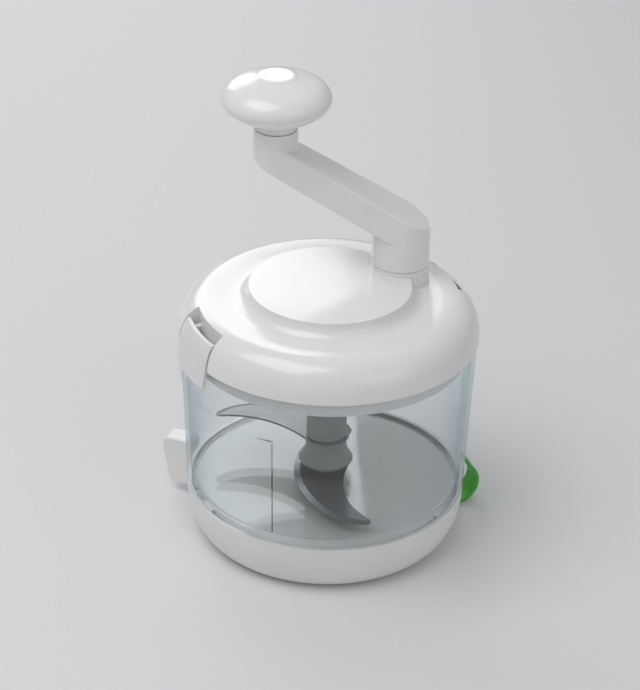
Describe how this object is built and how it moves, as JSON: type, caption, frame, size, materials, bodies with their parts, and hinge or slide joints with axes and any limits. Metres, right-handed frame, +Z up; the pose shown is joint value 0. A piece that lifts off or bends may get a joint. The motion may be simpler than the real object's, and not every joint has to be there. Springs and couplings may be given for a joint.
{
  "type": "crank food chopper",
  "caption": "Hand-cranked food chopper: suction base, clear bowl with curved blades on a hub, and a domed lid with side latches, hidden gears and an offset crank with a round knob.",
  "frame": {"origin": "where the bowl's axis meets the surface that the suction pad stands on", "axes": "+Z up along the bowl's axis, +X towards the release tab's side, +Y to the back; the crank's turret is to the right and back"},
  "size_m": [0.1774, 0.16, 0.2568],
  "materials": {
    "base_white": "satin",
    "inner_plastic": "satin",
    "steel": "satin",
    "green_rubber": "satin",
    "lever_white": "gloss",
    "bowl_clear": "clear polished plastic",
    "hub_grey": "satin",
    "blade_steel": "ground",
    "seal": "matte",
    "gear_plastic": "satin",
    "latch_white": "satin",
    "lid_white": "gloss"
  },
  "bodies": {
    "base": {"base_shell": "base_white", "base_plate": "inner_plastic", "suction_pad": "green_rubber", "base_screw_1": "steel", "base_screw_2": "steel", "base_screw_3": "steel"},
    "lever": {"suction_lever": "lever_white", "cam_shaft": "steel", "lever_screw": "steel"},
    "stem": {"suction_stem": "inner_plastic", "pad_neck": "green_rubber"},
    "bowl": {"bowl": "bowl_clear", "blade_pin": "steel"},
    "blades": {"blade_hub": "hub_grey", "hub_foot": "hub_grey", "hub_sleeve": "hub_grey", "lower_blade": "blade_steel", "upper_blade": "blade_steel"},
    "lid": {"lid_cover": "lid_white", "lid_underplate": "inner_plastic", "lid_seal": "seal", "crank_bush": "gear_plastic", "latch_pin_left": "steel", "latch_pin_right": "steel", "lid_screw_1": "steel", "lid_screw_2": "steel", "lid_screw_3": "steel", "lid_screw_4": "steel"},
    "latch_left": {"latch_left": "latch_white"},
    "latch_right": {"latch_right": "latch_white"},
    "crank": {"crank_arm": "lid_white", "crank_shaft": "steel", "drive_gear": "gear_plastic", "knob_spindle": "steel"},
    "pinion": {"drive_pinion": "gear_plastic", "pinion_clip": "steel"},
    "knob": {"crank_knob": "lid_white"}
  },
  "joints": [
    {"name": "lever_turn", "type": "hinge", "parent": "base", "child": "lever", "pos_m": [-0.07264, 0.02644, 0.014], "axis": [-0.9397, 0.342, 0], "range_deg": [0, 90]},
    {"name": "stem_lift", "type": "slide", "parent": "base", "child": "stem", "axis": [0, 0, 1], "range_m": [0, 0.0025], "deforming": ["pad_neck"]},
    {"name": "bowl_lift", "type": "slide", "parent": "base", "child": "bowl", "axis": [0, 0, 1], "range_m": [0, 0.05]},
    {"name": "blade_spin", "type": "hinge", "parent": "bowl", "child": "blades", "pos_m": [0, 0, 0.05], "axis": [0, 0, 1], "continuous": true},
    {"name": "lid_lift", "type": "slide", "parent": "bowl", "child": "lid", "axis": [0, 0, 1], "range_m": [0, 0.12]},
    {"name": "latch_left_open", "type": "hinge", "parent": "lid", "child": "latch_left", "pos_m": [-0.0658, -0.03068, 0.1285], "axis": [-0.4226, 0.9063, 0], "range_deg": [0, 35]},
    {"name": "latch_right_open", "type": "hinge", "parent": "lid", "child": "latch_right", "pos_m": [0.0658, 0.03068, 0.1285], "axis": [0.4226, -0.9063, 0], "range_deg": [0, 35]},
    {"name": "crank_turn", "type": "hinge", "parent": "lid", "child": "crank", "pos_m": [0.03707, 0.02371, 0.15], "axis": [0, 0, 1], "continuous": true},
    {"name": "pinion_spin", "type": "hinge", "parent": "lid", "child": "pinion", "pos_m": [0, 0, 0.118], "axis": [0, 0, 1], "continuous": true},
    {"name": "knob_spin", "type": "hinge", "parent": "crank", "child": "knob", "pos_m": [-0.03016, 0.02054, 0.235], "axis": [0, 0, 1], "continuous": true}
  ],
  "couplings": [
    {"joint": "stem_lift", "follows": "lever_turn", "m_per_rad": 0.0015915},
    {"joint": "pinion_spin", "follows": "crank_turn", "ratio": -1.3913},
    {"joint": "blade_spin", "follows": "crank_turn", "ratio": -1.3913}
  ]
}
